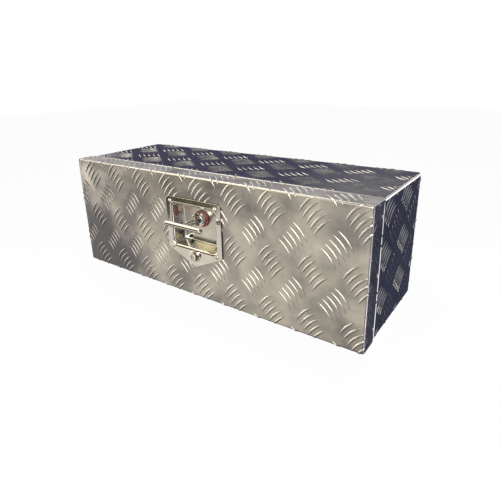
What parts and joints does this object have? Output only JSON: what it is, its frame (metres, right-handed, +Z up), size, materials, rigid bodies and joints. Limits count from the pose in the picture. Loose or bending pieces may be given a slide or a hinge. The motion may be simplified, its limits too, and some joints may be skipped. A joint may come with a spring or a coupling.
{
  "type": "trailer storage box",
  "caption": "Five-bar tread plate storage box with a drop-down front door on a piano hinge, closed by a folding T-handle lock in a pressed dish and locked by a push cylinder.",
  "frame": {"origin": "middle of the underside, midway between the two ends and between the door's face and the back", "axes": "+X along the box to the right as the door is faced, -Y out of the door, +Z up"},
  "size_m": [0.7008, 0.2858, 0.2504],
  "materials": {
    "tread_plate": "bright five-bar tread plate",
    "plain_aluminium": "mill finish sheet",
    "polished_stainless": "polished stainless steel",
    "zinc_steel": "bright zinc plated steel",
    "nickel_brass": "nickel plated brass",
    "black_rubber": "black rubber",
    "red_rubber": "red rubber"
  },
  "bodies": {
    "body": {"body_wrap": "tread_plate", "end_panel_left": "tread_plate", "end_panel_right": "tread_plate", "opening_seal": "black_rubber", "hinge_leaf_body": "zinc_steel", "hinge_pin": "zinc_steel"},
    "door": {"door_skin": "tread_plate", "door_sill_angle": "plain_aluminium", "hinge_leaf_door": "zinc_steel", "lock_gasket": "black_rubber", "lock_plate": "polished_stainless", "lock_rivet_1": "polished_stainless", "lock_rivet_2": "polished_stainless", "lock_rivet_3": "polished_stainless", "lock_rivet_4": "polished_stainless", "spindle_seal": "red_rubber", "spindle_bearing": "zinc_steel", "handle_bumper_left": "black_rubber", "handle_bumper_right": "black_rubber", "lock_barrel": "polished_stainless", "barrel_clip": "zinc_steel"},
    "spindle": {"spindle": "polished_stainless", "fold_pin": "polished_stainless", "spindle_clip": "zinc_steel", "latch_cam": "zinc_steel", "cam_washer": "zinc_steel", "cam_nut": "zinc_steel"},
    "handle": {"t_handle": "polished_stainless"},
    "plunger": {"lock_plunger": "polished_stainless", "plunger_spring": "zinc_steel"},
    "key_plug": {"key_plug": "nickel_brass"}
  },
  "joints": [
    {"name": "door_hinge", "type": "hinge", "parent": "body", "child": "door", "pos_m": [0, -0.0798, 0.0022], "axis": [1, 0, 0], "range_deg": [0, 90]},
    {"name": "handle_turn", "type": "hinge", "parent": "door", "child": "spindle", "pos_m": [0.002, -0.111, 0.161], "axis": [0, -1, 0], "range_deg": [0, 90]},
    {"name": "handle_fold", "type": "hinge", "parent": "spindle", "child": "handle", "pos_m": [0.002, -0.111, 0.161], "axis": [-1, 0, 0], "range_deg": [-90, 0]},
    {"name": "lock_push", "type": "slide", "parent": "door", "child": "plunger", "axis": [0, 1, 0], "range_m": [0, 0.007], "deforming": ["plunger_spring"]},
    {"name": "key_turn", "type": "hinge", "parent": "plunger", "child": "key_plug", "pos_m": [0.002, -0.137, 0.091], "axis": [0, 1, 0], "range_deg": [0, 90]}
  ]
}
